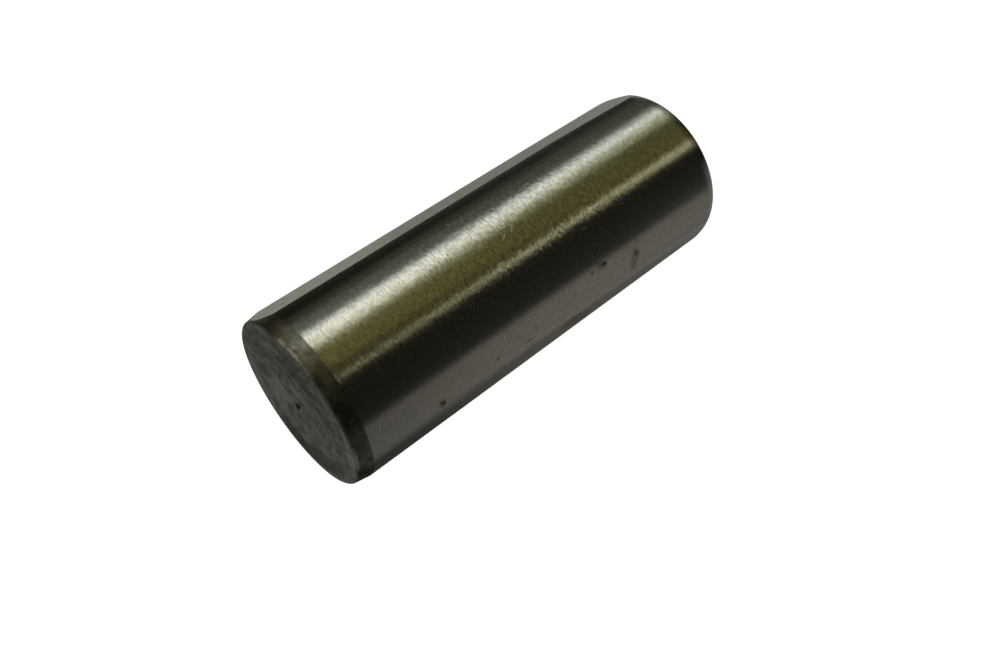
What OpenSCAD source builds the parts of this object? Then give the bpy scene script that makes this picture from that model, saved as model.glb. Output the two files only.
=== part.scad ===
// Ground steel dowel pin. It is pressed into reamed holes to line two parts up, and its
// vent flat lets the air out of a blind hole as it goes in.
// The pin stands on its rounded tail end, with its axis on Z and the origin under the
// middle of that end. The flat faces +X. Sizes are in millimetres.

/* [Body] */
// Diameter of the ground body
body_d = 12; // [4:0.5:40]
// Length over both ends
pin_l = 32; // [10:1:160]

/* [Lead end] */
// Length of the lead chamfer, which guides the pin into its hole
lead_l = 1.1; // [0.3:0.1:4]
// How far the lead chamfer comes in from the body at its small end
lead_depth = 0.17; // [0.05:0.01:0.6]
// Size of the 45 degree edge break between the lead chamfer and the end face
edge_break = 0.12; // [0.02:0.01:0.25]

/* [Turning pip] */
// Diameter of the small hollow that facing leaves in the middle of the lead end
pip_d = 0.7; // [0.2:0.1:2]
// Depth of the hollow at its middle
pip_depth = 0.15; // [0.05:0.05:0.6]

/* [Tail end] */
// Radius of the rounded corner between the body and the tail end's face
tail_r = 0.9; // [0.1:0.1:1.9]

/* [Vent flat] */
// How far the ground flat lies below the body's round surface
flat_depth = 0.16; // [0.02:0.01:1]

/* [Hidden] */
$fn = 128;
body_r = body_d / 2;
lead_r = body_r - lead_depth;
face_r = lead_r - edge_break;
// The corner stays clear of the axis on a slim pin
tail_corner = min(tail_r, body_r / 2);
// The flat's grinding pass starts before the pin and ends after it
overrun = 1;

// Half section of the turned and ground blank: radius on X, height on Y
module blank_section() {
    polygon([
        [0, 0],
        [body_r - tail_corner, 0],
        [body_r - tail_corner, tail_corner],
        [body_r, tail_corner],
        [body_r, pin_l - lead_l],
        [lead_r, pin_l - edge_break],
        [face_r, pin_l],
        [pip_d / 2, pin_l],
        [0, pin_l - pip_depth]
    ]);
    translate([body_r - tail_corner, tail_corner]) circle(tail_corner);
}

module blank() {
    rotate_extrude() blank_section();
}

// What the wheel takes off along the whole length
module flat_pass() {
    translate([body_r - flat_depth, -body_r, -overrun])
        cube([body_r, body_d, pin_l + 2 * overrun]);
}

module dowel_pin() {
    color("lightslategray") difference() {
        blank();
        flat_pass();
    }
}

dowel_pin();
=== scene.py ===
# Ground steel dowel pin, dressed and lit.
# The pin stands on its rounded tail end, with its axis on Z and its vent flat facing +X.

import math

import bmesh
import bpy
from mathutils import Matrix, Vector, noise


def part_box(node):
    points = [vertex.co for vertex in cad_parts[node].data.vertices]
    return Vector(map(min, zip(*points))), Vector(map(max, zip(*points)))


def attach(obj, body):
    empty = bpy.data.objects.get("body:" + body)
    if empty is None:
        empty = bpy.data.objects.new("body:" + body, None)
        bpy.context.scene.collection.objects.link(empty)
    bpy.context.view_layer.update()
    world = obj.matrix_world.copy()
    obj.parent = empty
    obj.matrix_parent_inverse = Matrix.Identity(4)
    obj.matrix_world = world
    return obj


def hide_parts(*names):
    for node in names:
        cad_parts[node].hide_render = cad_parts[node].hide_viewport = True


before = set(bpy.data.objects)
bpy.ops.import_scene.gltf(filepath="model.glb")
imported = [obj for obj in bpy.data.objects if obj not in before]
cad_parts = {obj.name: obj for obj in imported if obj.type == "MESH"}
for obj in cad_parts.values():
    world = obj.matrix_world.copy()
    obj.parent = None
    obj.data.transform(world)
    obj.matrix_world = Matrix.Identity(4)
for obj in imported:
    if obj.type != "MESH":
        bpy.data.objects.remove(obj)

bl_info = {
    "name": "Dowel Pin",
    "version": (1, 0, 0),
    "blender": (4, 5, 0),
    "location": "3D View > Sidebar > Dowel Pin",
    "description": "Makes a ground steel dowel pin and the small studio that it stands in",
    "category": "Object",
}

MM = 0.001
NODE = "dowel_pin"
BODY = "root"
PIECE = "ground_pin"
PIN_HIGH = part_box(NODE)[1]

# Order of the finishes on the pin
GROUND, FLAT, TURNED, FACED = range(4)
# Steps in the tail corner and in a worn edge, and the height of the rows that the mesh has
CORNER_STEPS, WEAR_STEPS = 12, 3
ROW = 0.5 * MM
# Points nearer than the first length are merged, and those within the second lie on a cut
MERGED = 0.0005 * MM
ON_CUT = 0.0002 * MM
# Finer steps where a pit is pressed in, and the length of an edge that is fine enough already
PIT_CUTS = 4
FINE_EDGE = 0.03 * MM
# A pit's patch reaches this many of its half lengths, over faces that point nearly its way
PIT_REACH = 1.5
SAME_WAY = 0.97
# How far a pit's edge strays from an oval, and the size of its bays
PIT_STRAY = 0.45
PIT_BAYS = 0.13 * MM
# Points this near the flat's plane, or past it, aren't put back on the round surface
FLAT_GAP = 0.01 * MM
# The lead end's face lies inside this radius, and the tail end's within this height
FACE_R = 5.72 * MM
FACE_NEAR = 0.001 * MM
# Radius at which a face that is unrolled into strips keeps its lengths
ARC_R = 4.0 * MM
# Azimuth at which the unrolled face is cut open, clear of its marks
CUT_OPEN = math.radians(30.0)
# Size of the bays and points round the edge of a mark
RAGGED = 0.16 * MM
# A pit this deep is as dark as it can be
FULL_DEPTH = 0.05 * MM
# Height at which the wheel's strokes are deepest
DEEPEST = 15.0 * MM
# How the strokes' depth changes over the wall: the axis that the change runs along, where it
# starts and ends in millimetres, and its factor before and after. Z counts from that height
STROKE_DEPTHS = (
    ("Z", 2.0, 13.0, 1.0, 0.6),
    ("X", 0.3, 1.9, 0.3, 1.4),
    ("X", 2.2, 3.4, 1.0, 0.72),
    ("X", 5.0, 5.6, 1.0, 0.3),
    ("Y", 0.5, 3.0, 1.0, 0.5),
)
# Turn of the gloss over strokes that run round the pin, and over strokes that run along it
ROUND, ALONG = 0.25, 0.0


def length(name, description, default_mm):
    """A size in millimetres that shows in the scene's own unit."""
    return bpy.props.FloatProperty(
        name=name, description=description, default=default_mm * MM, unit="LENGTH", precision=5
    )


def colour(name, description, default):
    return bpy.props.FloatVectorProperty(
        name=name, description=description, default=default, subtype="COLOR", min=0.0, max=1.0
    )


class DowelPinSizes(bpy.types.PropertyGroup):
    """Sizes of the pin"""

    body_radius: length("Body Radius", "Radius of the ground body", PIN_HIGH.y / MM)
    pin_length: length("Length", "Length over both ends", PIN_HIGH.z / MM)
    flat_plane: length("Flat Plane", "Distance of the vent flat from the axis", PIN_HIGH.x / MM)
    lead_length: length("Lead Length", "Length of the lead chamfer", 1.1)
    lead_depth: length("Lead Depth", "How far the lead chamfer comes in", 0.17)
    edge_break: length("Edge Break", "Break between the lead chamfer and the face", 0.12)
    pip_radius: length("Pip Radius", "Radius of the hollow that facing leaves", 0.35)
    pip_depth: length("Pip Depth", "Depth of the hollow that facing leaves", 0.15)
    tail_height: length("Tail Height", "Height at which the ground wall starts", 1.05)
    tail_lean: length("Tail Lean", "How far the tail end leans in under the ground wall", 0.2)
    tail_corner: length("Tail Corner", "How far the tail end's corner is rounded", 0.683)
    dip: length("Dip", "How much deeper the flat is where the wheel left it", 0.11)
    dip_length: length("Dip Length", "How far up the flat the dip starts", 8.0)
    wear: length("Wear", "How much handling has softened the turned edges", 0.03)
    steps: bpy.props.IntProperty(
        name="Steps", description="Number of steps round the pin", default=360, min=48
    )


class DowelPinFinish(bpy.types.PropertyGroup):
    """Colours of the pin's steel"""

    ground: colour("Ground Steel", "Steel where the wheel has passed", (0.5, 0.48, 0.44))
    turned: colour("Turned Steel", "Steel of the lead chamfer", (0.262, 0.255, 0.212))
    faced: colour("Faced Steel", "End faces, darkened by hardening", (0.268, 0.263, 0.258))
    # Also the colour of the painted shade in the face's wide dark arcs
    dirt_and_shade: colour("Dirt", "What has gathered in the pits", (0.02, 0.018, 0.014))
    stain: colour("Stain", "Old oil round the pits", (0.16, 0.14, 0.07))
    # Bare steel of the scratches, and also the colour of the painted glints and highlights on the
    # chamfer's edge and the face
    scratch_and_highlight: colour("Scratch", "Steel laid bare by a scratch", (1.0, 0.98, 0.9))


# --- Mesh ---------------------------------------------------------------------------------


def make_object(name, bm):
    """A new object at the origin whose mesh is bm."""
    mesh = bpy.data.meshes.new(name)
    bm.to_mesh(mesh)
    bm.free()
    thing = bpy.data.objects.new(name, mesh)
    bpy.context.scene.collection.objects.link(thing)
    return thing


def round_corner(bm, vert, size, segments):
    bmesh.ops.bevel(
        bm,
        geom=[vert],
        offset=size,
        offset_type="OFFSET",
        segments=segments,
        profile=0.5,
        affect="VERTICES",
        material=-1,
    )


def turned_profile(bm, sizes):
    """Half section of the pin, from the middle of the tail end to the middle of the lead end."""
    body = sizes.body_radius
    lead = body - sizes.lead_depth
    top = sizes.pin_length
    corners = (
        (0.0, 0.0),
        (body - sizes.tail_lean, 0.0),
        (body, sizes.tail_height),
        (body, top - sizes.lead_length),
        (lead, top - sizes.edge_break),
        (lead - sizes.edge_break, top),
        (sizes.pip_radius, top),
        (0.0, top - sizes.pip_depth),
    )
    verts = [bm.verts.new((radius, 0.0, height)) for radius, height in corners]
    edges = [bm.edges.new(pair) for pair in zip(verts, verts[1:])]
    round_corner(bm, verts[1], sizes.tail_corner, CORNER_STEPS)
    for vert in verts[2:7]:
        round_corner(bm, vert, sizes.wear, WEAR_STEPS)
    for edge in bm.edges[:]:
        cuts = round(edge.calc_length() / ROW) - 1
        if cuts > 0:
            bmesh.ops.subdivide_edges(bm, edges=[edge], cuts=cuts)


def turned_blank(sizes):
    bm = bmesh.new()
    turned_profile(bm, sizes)
    bmesh.ops.spin(
        bm,
        geom=bm.verts[:] + bm.edges[:],
        cent=(0.0, 0.0, 0.0),
        axis=(0.0, 0.0, 1.0),
        angle=2 * math.pi,
        steps=sizes.steps,
        use_merge=True,
    )
    bmesh.ops.remove_doubles(bm, verts=bm.verts[:], dist=MERGED)
    bmesh.ops.recalc_face_normals(bm, faces=bm.faces[:])
    return bm


def grind(bm, start, facing):
    """Takes off what lies outside a plane, and closes the cut with one flat face."""
    cut = bmesh.ops.bisect_plane(
        bm,
        geom=bm.verts[:] + bm.edges[:] + bm.faces[:],
        dist=ON_CUT,
        plane_co=start,
        plane_no=facing,
        clear_outer=True,
    )
    rim = [item for item in cut["geom_cut"] if isinstance(item, bmesh.types.BMEdge)]
    filled = bmesh.ops.edgeloop_fill(bm, edges=rim)
    for face in filled["faces"]:
        face.material_index = FLAT
    for edge in rim:
        edge.smooth = False


def grind_flat(bm, sizes):
    """The vent flat, which dips a little near the tail, where the wheel left the pin."""
    grind(bm, (sizes.flat_plane, 0.0, 0.0), (1.0, 0.0, 0.0))
    slope = Vector((sizes.dip_length, 0.0, -sizes.dip)).normalized()
    grind(bm, (sizes.flat_plane, 0.0, sizes.dip_length), slope)
    bmesh.ops.recalc_face_normals(bm, faces=bm.faces[:])


def sink_pit(bm, mark, radius):
    """Presses a ragged hollow into the surface, on a patch that is divided finely first."""
    place, outward, along = mark.place, mark.outward, mark.along
    across = outward.cross(along)
    reach = PIT_REACH * mark.half_length
    patch = [
        face
        for face in bm.faces
        if face.normal.dot(outward) > SAME_WAY
        and (face.calc_center_median() - place).length < reach
    ]
    edges = {edge for face in patch for edge in face.edges if edge.calc_length() > FINE_EDGE}
    bmesh.ops.subdivide_edges(bm, edges=list(edges), cuts=PIT_CUTS, use_grid_fill=True)
    for vert in bm.verts:
        offset = vert.co - place
        if offset.length > 2 * reach:
            continue
        # The wall's new points go back out to its round surface first
        if abs(outward.z) < 0.5 and vert.co.x < PIN_HIGH.x - FLAT_GAP:
            ring = vert.co.to_2d()
            vert.co.xy = ring * (radius / ring.length)
            offset = vert.co - place
        u = offset.dot(along) / mark.half_length
        v = offset.dot(across) / mark.half_width
        ragged = 1.0 + PIT_STRAY * noise.noise(vert.co / PIT_BAYS)
        hollow = max(0.0, 1.0 - (u * u + v * v) / ragged)
        vert.co -= outward * mark.depth * hollow


def split_odd_faces(bm):
    """Splits the many-sided faces round the pits into triangles."""
    odd = [face for face in bm.faces if len(face.verts) > 4]
    bmesh.ops.triangulate(bm, faces=odd, quad_method="BEAUTY", ngon_method="BEAUTY")


def name_finishes(bm, sizes):
    """Gives every face the finish of the surface that it is part of."""
    lead_start = sizes.pin_length - sizes.lead_length
    # The hollow and the pits in it are part of the faced end
    face_start = sizes.pin_length - 1.5 * sizes.pip_depth
    for face in bm.faces:
        face.smooth = face.material_index != FLAT
        middle = face.calc_center_median()
        if face.material_index == FLAT:
            continue
        if middle.z > face_start and middle.xy.length < FACE_R:
            face.material_index = FACED
        elif middle.z < FACE_NEAR:
            face.material_index = FACED
        elif middle.z > lead_start:
            face.material_index = TURNED
        else:
            face.material_index = GROUND


# --- Marks --------------------------------------------------------------------------------


class Mark:
    """A pit, stain or scratch: where it is on the surface, which way it runs and its size.

    A deeper mark is darker or brighter. One with no depth is only a colour, at full strength.
    """

    def __init__(self, place, outward, along, sizes_mm):
        self.place, self.outward, self.along = place, outward, along
        self.half_length, self.half_width, self.depth = (size * MM for size in sizes_mm)
        self.strength = min(1.0, self.depth / FULL_DEPTH) if self.depth else 1.0


def wall_mark(radius, angle, height, turn, sizes_mm):
    """A mark on the round body. It runs round the body, turned by some degrees towards the lead."""
    a, t = math.radians(angle), math.radians(turn)
    outward = Vector((math.cos(a), math.sin(a), 0.0))
    around = Vector((-math.sin(a), math.cos(a), 0.0))
    along = math.cos(t) * around + math.sin(t) * Vector((0.0, 0.0, 1.0))
    return Mark(radius * outward + Vector((0.0, 0.0, height * MM)), outward, along, sizes_mm)


def arc_mark(top, angle, radius, sizes_mm):
    """A mark that runs round the lead end's face, in the face's own unrolled coordinates."""
    past_cut = (math.radians(angle) - CUT_OPEN) % (2 * math.pi)
    place = Vector((radius * MM, (past_cut - math.pi) * ARC_R, top))
    return Mark(place, Vector((0.0, 0.0, 1.0)), Vector((0.0, 1.0, 0.0)), sizes_mm)


def face_mark(top, x, y, turn, sizes_mm):
    """A mark on the lead end's face. It runs along X, turned by some degrees towards Y."""
    t = math.radians(turn)
    along = Vector((math.cos(t), math.sin(t), 0.0))
    return Mark(Vector((x * MM, y * MM, top)), Vector((0.0, 0.0, 1.0)), along, sizes_mm)


# Pits, stains and scratches on the wall, the scratches painted bright as glints: angle round the
# pin, height and turn, then half length, half width and depth, in degrees and millimetres
WALL_PITS = (
    (-125.0, 25.6, 35.0, (0.2, 0.12, 0.028)),
    (-120.6, 21.1, 0.0, (0.12, 0.08, 0.02)),
    (-124.0, 18.5, 80.0, (0.22, 0.06, 0.018)),
    (-107.9, 12.6, 20.0, (0.12, 0.08, 0.02)),
    (-107.2, 11.4, 60.0, (0.18, 0.09, 0.025)),
    (-115.8, 8.55, 10.0, (0.2, 0.12, 0.018)),
    (-113.6, 9.75, 0.0, (0.1, 0.06, 0.018)),
    (-36.4, 13.1, 30.0, (0.1, 0.07, 0.02)),
)
WALL_STAINS = (
    (-122.0, 8.75, 0.0, (0.75, 0.35, 0.0)),
    (-116.5, 8.6, 0.0, (0.6, 0.4, 0.0)),
    (-125.0, 25.6, 20.0, (0.45, 0.3, 0.0)),
    (-107.4, 11.7, 60.0, (0.5, 0.3, 0.0)),
    (-140.0, 14.0, 70.0, (1.6, 0.6, 0.0)),
)
WALL_SCRATCH_GLINTS = (
    (-56.2, 16.2, -44.0, (0.32, 0.065, 0.0)),
    (-57.9, 17.0, -56.0, (0.25, 0.07, 0.0)),
    (-51.5, 16.9, -9.0, (0.2, 0.06, 0.04)),
    (-50.8, 16.3, -51.0, (0.3, 0.05, 0.03)),
    (-66.9, 13.85, -47.0, (0.18, 0.07, 0.0)),
    (-69.4, 14.2, -54.0, (0.18, 0.07, 0.0)),
    (-80.1, 11.9, 75.0, (0.26, 0.05, 0.04)),
    (-81.0, 8.4, 70.0, (0.26, 0.045, 0.03)),
    (-63.0, 21.5, -50.0, (0.22, 0.045, 0.03)),
    (-30.0, 19.0, 65.0, (0.35, 0.045, 0.03)),
    (40.0, 22.0, 60.0, (0.5, 0.05, 0.03)),
    (95.0, 12.5, -55.0, (0.6, 0.05, 0.03)),
    (150.0, 18.0, 75.0, (0.45, 0.045, 0.03)),
)
# Pits in the face: place and turn, then half length, half width and depth, in the same units
FACE_PITS = (
    (-0.13, 0.09, 120.0, (0.28, 0.17, 0.045)),
    (-0.3, 0.45, 100.0, (0.16, 0.09, 0.025)),
    (3.86, 0.48, 70.0, (0.16, 0.1, 0.025)),
    (4.2, 1.3, 100.0, (0.2, 0.1, 0.035)),
    (2.92, 1.48, 110.0, (0.16, 0.1, 0.02)),
    (3.3, -0.1, 80.0, (0.13, 0.08, 0.015)),
    (2.64, -0.72, 75.0, (0.18, 0.1, 0.025)),
    (2.09, 0.12, 95.0, (0.18, 0.1, 0.025)),
    (0.89, 0.33, 90.0, (0.2, 0.1, 0.02)),
    (2.55, 2.7, 125.0, (0.2, 0.1, 0.025)),
    (3.2, 3.2, 140.0, (0.2, 0.1, 0.02)),
    (-1.1, -3.95, 30.0, (0.16, 0.1, 0.025)),
    (-1.4, -3.35, 60.0, (0.14, 0.08, 0.015)),
)
# Dark flecks, laid out as the pits are. Nothing is pressed in there
FACE_FLECKS = (
    (4.11, 1.34, 70.0, (0.2, 0.08, 0.045)),
    (2.81, 1.36, 60.0, (0.24, 0.1, 0.04)),
    (2.24, 0.04, 80.0, (0.22, 0.09, 0.04)),
    (1.0, 0.07, 100.0, (0.24, 0.1, 0.04)),
    (2.51, 0.4, 60.0, (0.2, 0.09, 0.035)),
    (-1.15, -3.92, 150.0, (0.2, 0.09, 0.04)),
    (2.07, -3.2, 30.0, (0.24, 0.08, 0.03)),
    (-1.01, -3.51, 170.0, (0.24, 0.08, 0.035)),
    (3.26, 1.42, 80.0, (0.2, 0.1, 0.04)),
    (3.82, -1.11, 90.0, (0.2, 0.08, 0.035)),
    (3.5, 0.6, 110.0, (0.22, 0.08, 0.035)),
    (3.0, 0.9, 40.0, (0.2, 0.09, 0.03)),
    (1.15, 0.6, 90.0, (0.22, 0.09, 0.03)),
    (-0.78, -0.92, 100.0, (0.18, 0.07, 0.03)),
    (-1.68, -4.43, 160.0, (0.24, 0.07, 0.03)),
    (3.6, 2.2, 120.0, (0.2, 0.08, 0.035)),
)
# Stained places, lighter places and painted glints on the face
FACE_STAINS = (
    (3.9, 0.9, 75.0, (2.2, 0.8, 0.0)),
    (2.4, -1.2, 60.0, (1.1, 0.6, 0.0)),
    (1.0, 0.1, 80.0, (0.6, 0.4, 0.0)),
    (2.3, 2.3, 125.0, (0.9, 0.4, 0.0)),
)
FACE_LIGHT = (
    (0.85, 1.45, 60.0, (1.4, 0.8, 0.0)),
    (0.3, 2.8, 0.0, (1.5, 0.9, 0.048)),
    (0.9, -1.2, 30.0, (0.7, 0.4, 0.02)),
    (-0.3, -2.2, 80.0, (1.3, 0.6, 0.014)),
)
FACE_GLINTS = (
    (-0.45, 0.85, 100.0, (0.16, 0.05, 0.03)),
    (0.62, 1.45, 100.0, (0.14, 0.05, 0.03)),
    (-0.36, -0.2, 60.0, (0.12, 0.06, 0.03)),
    (0.35, -0.42, 20.0, (0.12, 0.05, 0.025)),
    (1.6, 1.1, 110.0, (0.2, 0.05, 0.02)),
    (-1.3, 2.4, 80.0, (0.2, 0.05, 0.015)),
)
# Dark arcs on the face, thin ones and wide ones that are painted shade, mostly near the rim, and
# bright arcs near its rim that are painted highlights: azimuth and distance from the axis, then
# half length along the arc, half width and depth
FACE_ARCS = (
    (-98.0, 3.35, (1.4, 0.12, 0.05)),
    (-145.0, 3.3, (1.2, 0.13, 0.035)),
    (-48.0, 3.7, (2.2, 0.65, 0.045)),
    (-42.0, 4.75, (1.6, 0.4, 0.03)),
    (-112.0, 4.0, (0.5, 0.12, 0.05)),
    (178.0, 4.7, (1.8, 0.7, 0.05)),
    (134.0, 4.8, (2.0, 0.8, 0.05)),
    (0.0, 5.0, (1.7, 0.45, 0.03)),
    (164.0, 3.9, (1.3, 0.4, 0.05)),
    (165.0, 1.2, (3.0, 0.6, 0.022)),
    (152.0, 4.4, (1.0, 0.7, 0.02)),
    (-60.0, 4.2, (1.6, 1.0, 0.012)),
)
FACE_RIM_HIGHLIGHTS = (
    (76.0, 5.05, (2.2, 0.5, 0.0)),
    (-116.0, 5.45, (1.6, 0.3, 0.0)),
    (-124.0, 5.2, (1.0, 0.3, 0.0)),
)
# Painted highlights on the worn edge of the chamfer by the face, laid out as the wall's marks are
EDGE_HIGHLIGHTS = (
    (-36.8, 31.93, 0.0, (0.3, 0.14, 0.03)),
    (-47.0, 31.94, 0.0, (0.7, 0.14, 0.03)),
    (-44.5, 31.6, 35.0, (0.3, 0.12, 0.015)),
    (-124.0, 31.95, 0.0, (1.9, 0.13, 0.05)),
)


# --- Node groups --------------------------------------------------------------------------


# Places of the colour sockets on a Mix node
MIX_A, MIX_B, MIX_RESULT = 6, 7, 2


class Wires:
    """Places nodes in a node tree and joins their sockets."""

    def __init__(self, tree):
        self.tree = tree

    def node(self, kind, values=(), **settings):
        """A new node with these settings, its input sockets fed in order with the values."""
        node = self.tree.nodes.new(kind)
        for name, value in settings.items():
            setattr(node, name, value)
        for socket, value in zip(node.inputs, values):
            self.feed(socket, value)
        return node

    def feed(self, socket, value):
        """Joins an output to the socket, or gives the socket its own value."""
        if isinstance(value, bpy.types.NodeSocket):
            self.tree.links.new(value, socket)
        else:
            socket.default_value = value

    def math(self, operation, *values):
        return self.node("ShaderNodeMath", values, operation=operation).outputs["Value"]

    def vector(self, operation, *values, out="Vector"):
        return self.node("ShaderNodeVectorMath", values, operation=operation).outputs[out]

    def noise(self, position, scale, detail=2.0, roughness=0.5):
        node = self.node("ShaderNodeTexNoise")
        values = {"Vector": position, "Scale": scale, "Detail": detail, "Roughness": roughness}
        for name, value in values.items():
            self.feed(node.inputs[name], value)
        return node.outputs[0]

    def ramp(self, value, low, high, start=0.0, end=1.0):
        """A smooth step of the value, from start at low to end at high."""
        sockets = (value, low, high, start, end)
        node = self.node("ShaderNodeMapRange", sockets, interpolation_type="SMOOTHSTEP")
        return node.outputs["Result"]

    def blend(self, amount, first, second):
        """Goes from the first colour to the second as the amount goes from 0 to 1."""
        node = self.node("ShaderNodeMix", (amount,), data_type="RGBA")
        self.feed(node.inputs[MIX_A], first)
        self.feed(node.inputs[MIX_B], second)
        return node.outputs[MIX_RESULT]

    def group(self, tree, **values):
        node = self.node("ShaderNodeGroup", node_tree=tree)
        for name, value in values.items():
            self.feed(node.inputs[name.title()], value)
        return node.outputs


def new_group(name, inputs, outputs):
    """An empty node group with these sockets: its wires, its inputs and its outputs."""
    tree = bpy.data.node_groups.new(name, "ShaderNodeTree")
    for direction, sockets in (("INPUT", inputs), ("OUTPUT", outputs)):
        for label, kind in sockets.items():
            tree.interface.new_socket(label, in_out=direction, socket_type="NodeSocket" + kind)
    wires = Wires(tree)
    return wires, wires.node("NodeGroupInput").outputs, wires.node("NodeGroupOutput").inputs


def strokes_group():
    """Fine strokes of a wheel or a lathe tool, from a position stretched to their shape."""
    wires, given, made = new_group(
        "tool_strokes",
        {"Position": "Vector", "Detail": "Float"},
        {"Height": "Float", "Shade": "Float"},
    )
    coarse = wires.noise(given["Position"], scale=1.0, detail=given["Detail"])
    # The second layer is moved aside, so that it doesn't repeat the first
    moved = wires.vector("ADD", given["Position"], (31.7, 12.3, 5.1))
    fine = wires.noise(moved, scale=2.1, detail=given["Detail"])
    both = wires.math("MULTIPLY_ADD", fine, 0.5, coarse)
    wires.feed(made["Height"], both)
    # The shade is the same height, moved to lie round 0.5
    wires.feed(made["Shade"], wires.math("MULTIPLY_ADD", both, 1.3, -0.475))
    return wires.tree


def patina_group():
    """Uneven patches and small dark flecks of a handled steel surface."""
    wires, given, made = new_group(
        "patina", {"Position": "Vector", "Size": "Float"}, {"Patches": "Float", "Flecks": "Float"}
    )
    position = wires.vector("SCALE", given["Position"])
    scale = wires.math("DIVIDE", 1.0, given["Size"])
    wires.feed(position.node.inputs["Scale"], scale)
    wires.feed(made["Patches"], wires.noise(position, scale=1.0, detail=3.0, roughness=0.6))
    moved = wires.vector("ADD", position, (7.0, 3.0, 9.0))
    flecks = wires.noise(moved, scale=5.0, detail=2.0, roughness=0.55)
    wires.feed(made["Flecks"], wires.ramp(flecks, low=0.6, high=0.72))
    return wires.tree


def mark_group():
    """A ragged oval mask, for one pit, stain or scratch."""
    inputs = {"Position": "Vector", "Centre": "Vector", "Along": "Vector"}
    inputs.update({"Length": "Float", "Width": "Float", "Ragged": "Float"})
    wires, given, made = new_group("mark", inputs, {"Mask": "Float"})
    offset = wires.vector("SUBTRACT", given["Position"], given["Centre"])
    run = wires.vector("DOT_PRODUCT", offset, given["Along"], out="Value")
    square = wires.vector("DOT_PRODUCT", offset, offset, out="Value")
    run_square = wires.math("MULTIPLY", run, run)
    side_square = wires.math("SUBTRACT", square, run_square)
    run_part = wires.math("DIVIDE", run_square, wires.math("POWER", given["Length"], 2.0))
    side_part = wires.math("DIVIDE", side_square, wires.math("POWER", given["Width"], 2.0))
    spread = wires.math("ADD", wires.math("ADD", run_part, side_part), given["Ragged"])
    wires.feed(made["Mask"], wires.ramp(spread, low=0.3, high=1.5, start=1.0, end=0.0))
    return wires.tree


# --- Materials ----------------------------------------------------------------------------


def opaque(colour):
    return (*colour, 1.0)


class Steel:
    """One steel material, with the parts that all of them share."""

    def __init__(self, name, groups):
        self.material = bpy.data.materials.new(name)
        self.material.use_nodes = True
        self.wires = Wires(self.material.node_tree)
        self.groups = groups
        self.shader = self.material.node_tree.nodes["Principled BSDF"].inputs
        self.shader["Metallic"].default_value = 1.0
        self.position = self.wires.node("ShaderNodeTexCoord").outputs["Object"]
        self.uneven = None

    def strokes(self, lengths_mm, detail=1.0):
        """Tool strokes with these lengths along X, Y and Z."""
        stretch = tuple(1.0 / (part * MM) for part in lengths_mm)
        stretched = self.wires.vector("MULTIPLY", self.position, stretch)
        return self.wires.group(self.groups["strokes"], position=stretched, detail=detail)

    def rings(self, pitch_mm, arc_mm):
        """Tool strokes that run round the axis on an end face."""
        wires = self.wires
        level = wires.vector("MULTIPLY", self.position, (1.0, 1.0, 0.0))
        radius = wires.vector("LENGTH", level, out="Value")
        parts = wires.node("ShaderNodeSeparateXYZ", (level,)).outputs
        joined = wires.node("ShaderNodeCombineXYZ", (radius, parts["X"], parts["Y"])).outputs[0]
        scale = (1.0 / (pitch_mm * MM), 1.0 / (arc_mm * MM), 1.0 / (arc_mm * MM))
        stretched = wires.vector("MULTIPLY", joined, scale)
        return wires.group(self.groups["strokes"], position=stretched, detail=1.0)

    def unrolled(self):
        """Position on an end face as distance from the axis and length round it."""
        wires = self.wires
        turn = (self.position, (0.0, 0.0, 0.0), (0.0, 0.0, 1.0), math.pi - CUT_OPEN)
        turned = wires.node("ShaderNodeVectorRotate", turn, rotation_type="Z_AXIS").outputs[0]
        parts = wires.node("ShaderNodeSeparateXYZ", (turned,)).outputs
        level = wires.vector("MULTIPLY", self.position, (1.0, 1.0, 0.0))
        radius = wires.vector("LENGTH", level, out="Value")
        around = wires.math("MULTIPLY", wires.math("ARCTAN2", parts["Y"], parts["X"]), ARC_R)
        return wires.node("ShaderNodeCombineXYZ", (radius, around, parts["Z"])).outputs[0]

    def patina(self, size_mm):
        return self.wires.group(self.groups["patina"], position=self.position, size=size_mm * MM)

    def marks(self, marks, grow=1.0, position=None, ragged=True):
        """Where any of the marks is, as a mask."""
        wires = self.wires
        position = position or self.position
        if self.uneven is None:
            cloud = wires.noise(self.position, scale=1.0 / RAGGED, detail=2.0)
            self.uneven = wires.math("MULTIPLY_ADD", cloud, 2.4, -1.2)
        mask = None
        for mark in marks:
            one = wires.group(
                self.groups["mark"],
                position=position,
                centre=mark.place,
                along=mark.along,
                length=mark.half_length * grow,
                width=mark.half_width * grow,
                ragged=self.uneven if ragged else 0.0,
            )["Mask"]
            one = wires.math("MULTIPLY", one, mark.strength)
            mask = one if mask is None else wires.math("MAXIMUM", mask, one)
        return mask

    def grain(self, anisotropy, rotation):
        """Stretches the gloss round the axis, or along it where it is turned by a quarter."""
        self.shader["Anisotropic"].default_value = anisotropy
        self.shader["Anisotropic Rotation"].default_value = rotation
        tangent = self.wires.node("ShaderNodeTangent", direction_type="RADIAL", axis="Z")
        self.wires.feed(self.shader["Tangent"], tangent.outputs["Tangent"])

    def bump(self, height, rise_mm):
        node = self.wires.node("ShaderNodeBump")
        self.wires.feed(node.inputs["Height"], height)
        node.inputs["Distance"].default_value = rise_mm * MM
        self.wires.feed(self.shader["Normal"], node.outputs["Normal"])

    def shade(self, colour, value, low, high):
        """The colour, made darker and lighter by a value from 0 to 1."""
        wires = self.wires
        dark = opaque(part * low for part in colour)
        light = opaque(min(1.0, part * high) for part in colour)
        return wires.blend(wires.ramp(value, low=0.25, high=0.75), dark, light)


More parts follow.
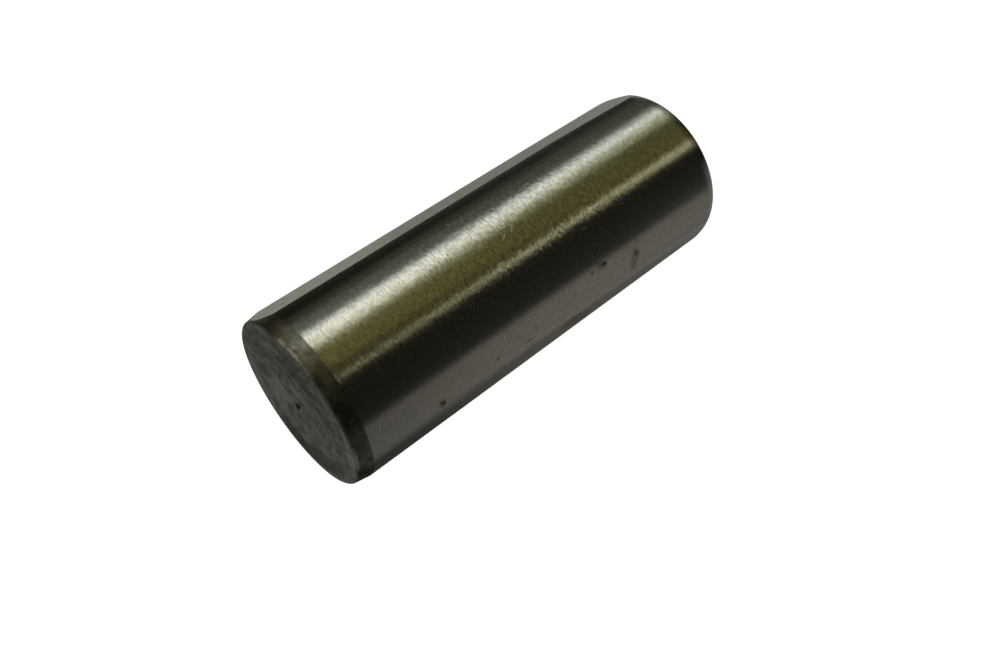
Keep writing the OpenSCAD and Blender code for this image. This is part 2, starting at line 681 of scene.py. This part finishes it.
def stroke_depth(steel, patches):
    """How deep the wheel's strokes are over the wall."""
    wires = steel.wires
    parts = wires.node("ShaderNodeSeparateXYZ", (steel.position,)).outputs
    away = wires.math("ABSOLUTE", wires.math("SUBTRACT", parts["Z"], DEEPEST))
    depth = wires.ramp(patches, low=0.3, high=0.7, start=0.85, end=1.1)
    for way, first, last, before, after in STROKE_DEPTHS:
        place = away if way == "Z" else parts[way]
        change = wires.ramp(place, first * MM, last * MM, before, after)
        depth = wires.math("MULTIPLY", depth, change)
    return depth


def ground_steel(finish, groups, wall):
    """Round body: bright, with short strokes round it, and a few pits, stains and scratches."""
    steel = Steel("ground_steel", groups)
    wires = steel.wires
    strokes = steel.strokes((0.5, 0.5, 0.12), detail=0.4)
    fine_strokes = steel.strokes((0.32, 0.32, 0.1))
    patina = steel.patina(size_mm=2.2)
    depth = stroke_depth(steel, patina["Patches"])
    pits = steel.marks(wall["pits"], grow=1.3)
    stains = wires.math("MULTIPLY", steel.marks(wall["stains"]), 0.5)
    # Real scratches, whose bright colour is a painted glint
    scratch_glints = steel.marks(wall["scratch_glints"], ragged=False)
    shade = wires.math("SUBTRACT", fine_strokes["Shade"], 0.5)
    shade = wires.math("MULTIPLY_ADD", shade, depth, 0.5)
    colour = steel.shade(finish.ground, shade, low=0.73, high=1.27)
    colour = wires.blend(stains, colour, opaque(finish.stain))
    colour = wires.blend(scratch_glints, colour, opaque(finish.scratch_and_highlight))
    colour = wires.blend(pits, colour, opaque(finish.dirt_and_shade))
    wires.feed(steel.shader["Base Color"], colour)
    rough = wires.math("MULTIPLY_ADD", patina["Patches"], 0.05, 0.255)
    rough = wires.math("MULTIPLY_ADD", scratch_glints, 0.45, rough)
    rough = wires.math("MULTIPLY_ADD", pits, 0.3, rough)
    wires.feed(steel.shader["Roughness"], rough)
    steel.grain(anisotropy=0.915, rotation=ROUND)
    steel.bump(wires.math("MULTIPLY", strokes["Height"], depth), rise_mm=0.014)
    return steel.material


def flat_steel(finish, groups):
    """Vent flat: ground along its length."""
    steel = Steel("flat_steel", groups)
    wires = steel.wires
    strokes = steel.strokes((1.0, 0.12, 0.4))
    colour = steel.shade(finish.ground, strokes["Shade"], low=0.8, high=1.2)
    wires.feed(steel.shader["Base Color"], colour)
    steel.shader["Roughness"].default_value = 0.36
    steel.grain(anisotropy=0.8, rotation=ALONG)
    steel.bump(strokes["Height"], rise_mm=0.01)
    return steel.material


def turned_steel(finish, groups, wall):
    """Lead chamfer: turned, never ground."""
    steel = Steel("turned_steel", groups)
    wires = steel.wires
    strokes = steel.strokes((1.6, 1.6, 0.08))
    patina = steel.patina(size_mm=0.7)
    # Painted highlights on the worn edge by the face
    edge_highlights = wires.math("MULTIPLY", steel.marks(wall["edge_highlights"]), 0.75)
    colour = steel.shade(finish.turned, patina["Patches"], low=0.55, high=1.45)
    colour = wires.blend(edge_highlights, colour, opaque(finish.scratch_and_highlight))
    wires.feed(steel.shader["Base Color"], colour)
    rough = wires.math("MULTIPLY_ADD", strokes["Shade"], 0.06, 0.44)
    rough = wires.math("MULTIPLY_ADD", edge_highlights, 0.3, rough)
    wires.feed(steel.shader["Roughness"], rough)
    steel.grain(anisotropy=0.6, rotation=ROUND)
    height = wires.math("MULTIPLY_ADD", patina["Patches"], 1.5, strokes["Height"])
    steel.bump(height, rise_mm=0.012)
    return steel.material


def faced_steel(finish, groups, face):
    """End faces: turned in rings, darkened by hardening, mottled and pitted."""
    steel = Steel("faced_steel", groups)
    wires = steel.wires
    rings = steel.rings(pitch_mm=0.12, arc_mm=1.3)
    patina = steel.patina(size_mm=0.6)
    specks = steel.patina(size_mm=0.5)["Flecks"]
    unrolled = steel.unrolled()
    pits = steel.marks(face["pits"], grow=1.3)
    stains = steel.marks(face["stains"])
    arcs = steel.marks(face["arcs"], position=unrolled)
    light = steel.marks(face["light"])
    rim = steel.marks(face["rim"], position=unrolled)
    colour = steel.shade(finish.faced, patina["Patches"], low=0.55, high=1.45)
    specks = wires.math("MULTIPLY", specks, 0.3)
    bright = wires.math("MULTIPLY_ADD", light, 0.24, specks)
    # The rim's bright arcs are painted highlights
    bright = wires.math("MAXIMUM", bright, wires.math("MULTIPLY", rim, 0.22))
    colour = wires.blend(bright, colour, opaque(finish.scratch_and_highlight))
    fleck_share = wires.math("MULTIPLY_ADD", stains, 0.75, 0.25)
    flecks = wires.math("MULTIPLY", patina["Flecks"], fleck_share)
    flecks = wires.math("MAXIMUM", flecks, steel.marks(face["flecks"]))
    dirt_and_shade = wires.math("MAXIMUM", flecks, wires.math("MULTIPLY", stains, 0.35))
    # The wide dark arcs are painted shade
    dirt_and_shade = wires.math("MAXIMUM", dirt_and_shade, wires.math("MULTIPLY", arcs, 0.62))
    dirt_and_shade = wires.math("MAXIMUM", dirt_and_shade, pits)
    colour = wires.blend(dirt_and_shade, colour, opaque(finish.dirt_and_shade))
    # Painted glints beside the pits
    glints = steel.marks(face["glints"], ragged=False)
    colour = wires.blend(glints, colour, opaque(finish.scratch_and_highlight))
    wires.feed(steel.shader["Base Color"], colour)
    rough = wires.math("MULTIPLY_ADD", rings["Shade"], 0.12, 0.47)
    wires.feed(steel.shader["Roughness"], rough)
    steel.grain(anisotropy=0.4, rotation=ROUND)
    height = wires.math("MULTIPLY_ADD", patina["Patches"], 3.0, rings["Height"])
    steel.bump(height, rise_mm=0.01)
    return steel.material


class DOWELPIN_OT_pin(bpy.types.Operator):
    """Make the dowel pin"""

    bl_idname = "dowelpin.pin"
    bl_label = "Dowel Pin"

    def execute(self, context):
        sizes, finish = context.scene.dowel_pin_sizes, context.scene.dowel_pin_finish
        wall = {
            "pits": [wall_mark(sizes.body_radius, *row) for row in WALL_PITS],
            "stains": [wall_mark(sizes.body_radius, *row) for row in WALL_STAINS],
            "scratch_glints": [wall_mark(sizes.body_radius, *row) for row in WALL_SCRATCH_GLINTS],
            "edge_highlights": [wall_mark(sizes.body_radius - sizes.lead_depth, *row) for row in EDGE_HIGHLIGHTS],
        }
        face = {
            "pits": [face_mark(sizes.pin_length, *row) for row in FACE_PITS],
            "flecks": [face_mark(sizes.pin_length, *row) for row in FACE_FLECKS],
            "stains": [face_mark(sizes.pin_length, *row) for row in FACE_STAINS],
            "light": [face_mark(sizes.pin_length, *row) for row in FACE_LIGHT],
            "arcs": [arc_mark(sizes.pin_length, *row) for row in FACE_ARCS],
            "glints": [face_mark(sizes.pin_length, *row) for row in FACE_GLINTS],
            "rim": [arc_mark(sizes.pin_length, *row) for row in FACE_RIM_HIGHLIGHTS],
        }
        bm = turned_blank(sizes)
        for mark in wall["pits"]:
            sink_pit(bm, mark, sizes.body_radius)
        # The first one is the dirt in the turned hollow, which the blank already has
        for mark in face["pits"][1:]:
            sink_pit(bm, mark, sizes.body_radius)
        split_odd_faces(bm)
        grind_flat(bm, sizes)
        name_finishes(bm, sizes)
        pin = make_object(PIECE, bm)
        groups = {"strokes": strokes_group(), "patina": patina_group(), "mark": mark_group()}
        pin.data.materials.append(ground_steel(finish, groups, wall))
        pin.data.materials.append(flat_steel(finish, groups))
        pin.data.materials.append(turned_steel(finish, groups, wall))
        pin.data.materials.append(faced_steel(finish, groups, face))
        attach(pin, BODY)
        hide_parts(NODE)
        return {"FINISHED"}


# --- Studio -------------------------------------------------------------------------------

# Each panel's name, its first and last azimuth, lowest and highest elevation as seen from the
# middle of the pin, and its glow. Most of the glows are the rounded result of a least-squares
# fit, some of them scaled since, and the others were set one by one
PANELS = (
    ("far_low", (-241.0, -188.0), (-75.0, -38.0), (0.25, 0.254, 0.259)),
    ("far_middle", (-241.0, -196.0), (-38.0, -22.0), (0.14, 0.135, 0.12)),
    ("far_high", (-241.0, -196.0), (-22.0, -6.0), (0.05, 0.05, 0.045)),
    ("rear_low", (-200.0, -134.0), (-75.0, -38.0), (0.172, 0.17, 0.162)),
    ("rear_middle", (-196.0, -136.5), (-38.0, -22.0), (0.27, 0.255, 0.225)),
    ("rear_high", (-196.0, -139.0), (-22.0, -6.0), (0.14, 0.14, 0.135)),
    ("gap", (-136.5, -80.0), (-62.0, -6.0), (0.021, 0.02, 0.014)),
    ("strip_foot", (-80.0, -74.0), (-52.0, -38.0), (1.43, 1.4, 0.88)),
    ("strip_low", (-74.0, -68.0), (-52.0, -38.0), (1.07, 0.99, 0.62)),
    ("strip_middle", (-74.0, -71.0), (-38.0, -22.0), (1.65, 1.7, 0.98)),
    ("olive_low", (-68.0, -50.0), (-52.0, -38.0), (0.33, 0.305, 0.104)),
    ("olive_foot", (-50.0, -28.0), (-52.0, -38.0), (0.195, 0.205, 0.091)),
    ("olive_edge", (-68.0, -58.0), (-22.0, -6.0), (0.15, 0.125, 0.06)),
    ("olive_high", (-58.0, -34.0), (-22.0, -6.0), (0.415, 0.37, 0.125)),
    ("key_edge_low", (-28.0, -17.0), (-52.0, -38.0), (1.06, 1.19, 0.73)),
    ("key_edge_high", (-34.0, -28.0), (-22.0, -6.0), (0.88, 0.85, 0.5)),
    ("key_low", (-17.0, -6.0), (-48.0, -38.0), (2.39, 2.48, 2.27)),
    ("key_middle", (-17.0, -6.0), (-38.0, -22.0), (0.9, 1.03, 1.03)),
    ("key_side", (-28.0, -22.5), (-22.0, -6.0), (2.62, 2.68, 2.18)),
    ("key_high", (-22.5, -11.5), (-22.0, -6.0), (2.92, 2.9, 2.6)),
    ("key_top", (-11.5, -6.0), (-22.0, -6.0), (1.78, 1.92, 1.89)),
    ("shoulder", (-6.0, 12.0), (-22.0, -6.0), (0.21, 0.23, 0.22)),
    ("dusk", (6.0, 28.0), (-62.0, -6.0), (0.065, 0.071, 0.057)),
    ("night", (22.0, 50.0), (-30.0, -6.0), (0.016, 0.016, 0.01)),
    ("flat_low", (58.0, 100.0), (-58.0, -22.0), (0.572, 0.589, 0.55)),
    ("flat_high", (58.0, 100.0), (-22.0, -6.0), (0.673, 0.686, 0.62)),
    ("brow_left", (-20.0, 0.0), (-6.0, 8.0), (0.52, 0.53, 0.41)),
    ("brow_right", (0.0, 20.0), (8.0, 22.0), (0.35, 0.27, 0.08)),
    ("cheek", (165.0, 200.0), (-6.0, 15.0), (0.085, 0.083, 0.08)),
    ("overhead", (60.0, 150.0), (5.0, 60.0), (0.205, 0.2, 0.175)),
    ("lid", (150.0, 215.0), (30.0, 75.0), (0.15, 0.14, 0.13)),
    ("crown", (-120.0, -15.0), (50.0, 88.0), (0.14, 0.135, 0.12)),
    ("gleam", (-15.0, 45.0), (45.0, 72.0), (1.1, 1.05, 0.85)),
)
PANEL_DISTANCE = 0.3
FLOOR_HALF = 0.7
# The camera's place in millimetres, its turn in degrees, and its lens and sensor width
EYE_PLACE = (17.897, -57.517, 47.033)
EYE_TURN = (-50.2487, 47.4302, -127.9233)
EYE_LENS, EYE_SENSOR = 36.327, 36.0


class DowelPinStudio(bpy.types.PropertyGroup):
    """Floor, air and light round the pin"""

    floor: colour("Floor", "Colour of the floor", (0.93, 0.93, 0.93))
    air: bpy.props.FloatProperty(
        name="Air", description="Brightness of the white air", default=1.14
    )
    glow: bpy.props.FloatProperty(
        name="Glow", description="Brightness of the panels", default=1.0
    )


def heading(azimuth, elevation):
    """Direction at this azimuth from +X and this elevation, in radians."""
    level = math.cos(elevation)
    return Vector((math.cos(azimuth) * level, math.sin(azimuth) * level, math.sin(elevation)))


def hang_panel(name, azimuths, elevations, glow, power, centre, lit):
    first, last = (math.radians(part) for part in azimuths)
    low, high = (math.radians(part) for part in elevations)
    middle = (low + high) / 2
    out = heading((first + last) / 2, middle)
    light = bpy.data.lights.new(name, "AREA")
    light.shape = "RECTANGLE"
    light.size = 2 * PANEL_DISTANCE * math.tan((last - first) / 2 * math.cos(middle))
    light.size_y = 2 * PANEL_DISTANCE * math.tan((high - low) / 2)
    peak = max(glow)
    light.color = [part / peak for part in glow]
    # A panel of any size looks as bright as its glow says
    light.energy = power * peak * math.pi * light.size * light.size_y
    panel = bpy.data.objects.new(name, light)
    panel.location = centre + PANEL_DISTANCE * out
    panel.rotation_euler = out.to_track_quat("Z", "Y").to_euler()
    panel.visible_camera = False
    panel.light_linking.receiver_collection = lit
    bpy.context.scene.collection.objects.link(panel)


def lay_floor(studio):
    bm = bmesh.new()
    bmesh.ops.create_grid(bm, x_segments=1, y_segments=1, size=FLOOR_HALF)
    floor = make_object("floor", bm)
    # The floor doesn't show in the pin, and lets the light of the low panels through
    floor.visible_glossy = False
    floor.visible_shadow = False
    pale = bpy.data.materials.new("pale_floor")
    pale.use_nodes = True
    sockets = pale.node_tree.nodes["Principled BSDF"].inputs
    sockets["Base Color"].default_value = opaque(studio.floor)
    sockets["Roughness"].default_value = 1.0
    sockets["Specular IOR Level"].default_value = 0.0
    floor.data.materials.append(pale)


def fill_air(studio):
    world = bpy.data.worlds.new("white_air")
    world.use_nodes = True
    background = world.node_tree.nodes["Background"].inputs
    background["Color"].default_value = (1.0, 1.0, 1.0, 1.0)
    background["Strength"].default_value = studio.air
    # The air lights the floor, and doesn't show in the pin
    world.cycles_visibility.glossy = False
    bpy.context.scene.world = world


def set_camera():
    eye = bpy.data.cameras.new("camera")
    eye.sensor_width = EYE_SENSOR
    eye.lens = EYE_LENS
    eye.clip_start = 0.001
    eye.clip_end = 10.0
    camera = bpy.data.objects.new("camera", eye)
    camera.location = [part * MM for part in EYE_PLACE]
    camera.rotation_euler = [math.radians(part) for part in EYE_TURN]
    bpy.context.scene.collection.objects.link(camera)
    bpy.context.scene.camera = camera


class DOWELPIN_OT_stage(bpy.types.Operator):
    """Make the floor, the air, the panels of light and the camera"""

    bl_idname = "dowelpin.stage"
    bl_label = "Stage"

    def execute(self, context):
        studio = context.scene.dowel_pin_studio
        context.scene.view_settings.view_transform = "Standard"
        fill_air(studio)
        lay_floor(studio)
        lit = bpy.data.collections.new("lit_by_panels")
        pin = bpy.data.objects[PIECE]
        # The pin leaves the floor evenly lit, and the panels light the pin alone
        pin.visible_shadow = False
        pin.visible_diffuse = False
        lit.objects.link(pin)
        centre = Vector((0.0, 0.0, PIN_HIGH.z / 2))
        for name, azimuths, elevations, glow in PANELS:
            hang_panel(name, azimuths, elevations, glow, studio.glow, centre, lit)
        set_camera()
        return {"FINISHED"}


class DOWELPIN_PT_sidebar(bpy.types.Panel):
    """Lists what the add-on makes"""

    bl_label = "Dowel Pin"
    bl_idname = "DOWELPIN_PT_sidebar"
    bl_space_type = "VIEW_3D"
    bl_region_type = "UI"
    bl_category = "Dowel Pin"

    def draw(self, context):
        for settings in PROPERTIES:
            group = getattr(context.scene, settings)
            for name in group.__annotations__:
                self.layout.prop(group, name)
        for operator in (DOWELPIN_OT_pin, DOWELPIN_OT_stage):
            self.layout.operator(operator.bl_idname)


PROPERTIES = {
    "dowel_pin_sizes": DowelPinSizes,
    "dowel_pin_finish": DowelPinFinish,
    "dowel_pin_studio": DowelPinStudio,
}
CLASSES = (*PROPERTIES.values(), DOWELPIN_OT_pin, DOWELPIN_OT_stage, DOWELPIN_PT_sidebar)


def register():
    for kind in CLASSES:
        bpy.utils.register_class(kind)
    for name, kind in PROPERTIES.items():
        setattr(bpy.types.Scene, name, bpy.props.PointerProperty(type=kind))


def unregister():
    for name in PROPERTIES:
        delattr(bpy.types.Scene, name)
    for kind in reversed(CLASSES):
        bpy.utils.unregister_class(kind)


def main():
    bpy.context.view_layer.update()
    register()
    bpy.ops.dowelpin.pin()
    bpy.ops.dowelpin.stage()


if __name__ == "__main__":
    main()
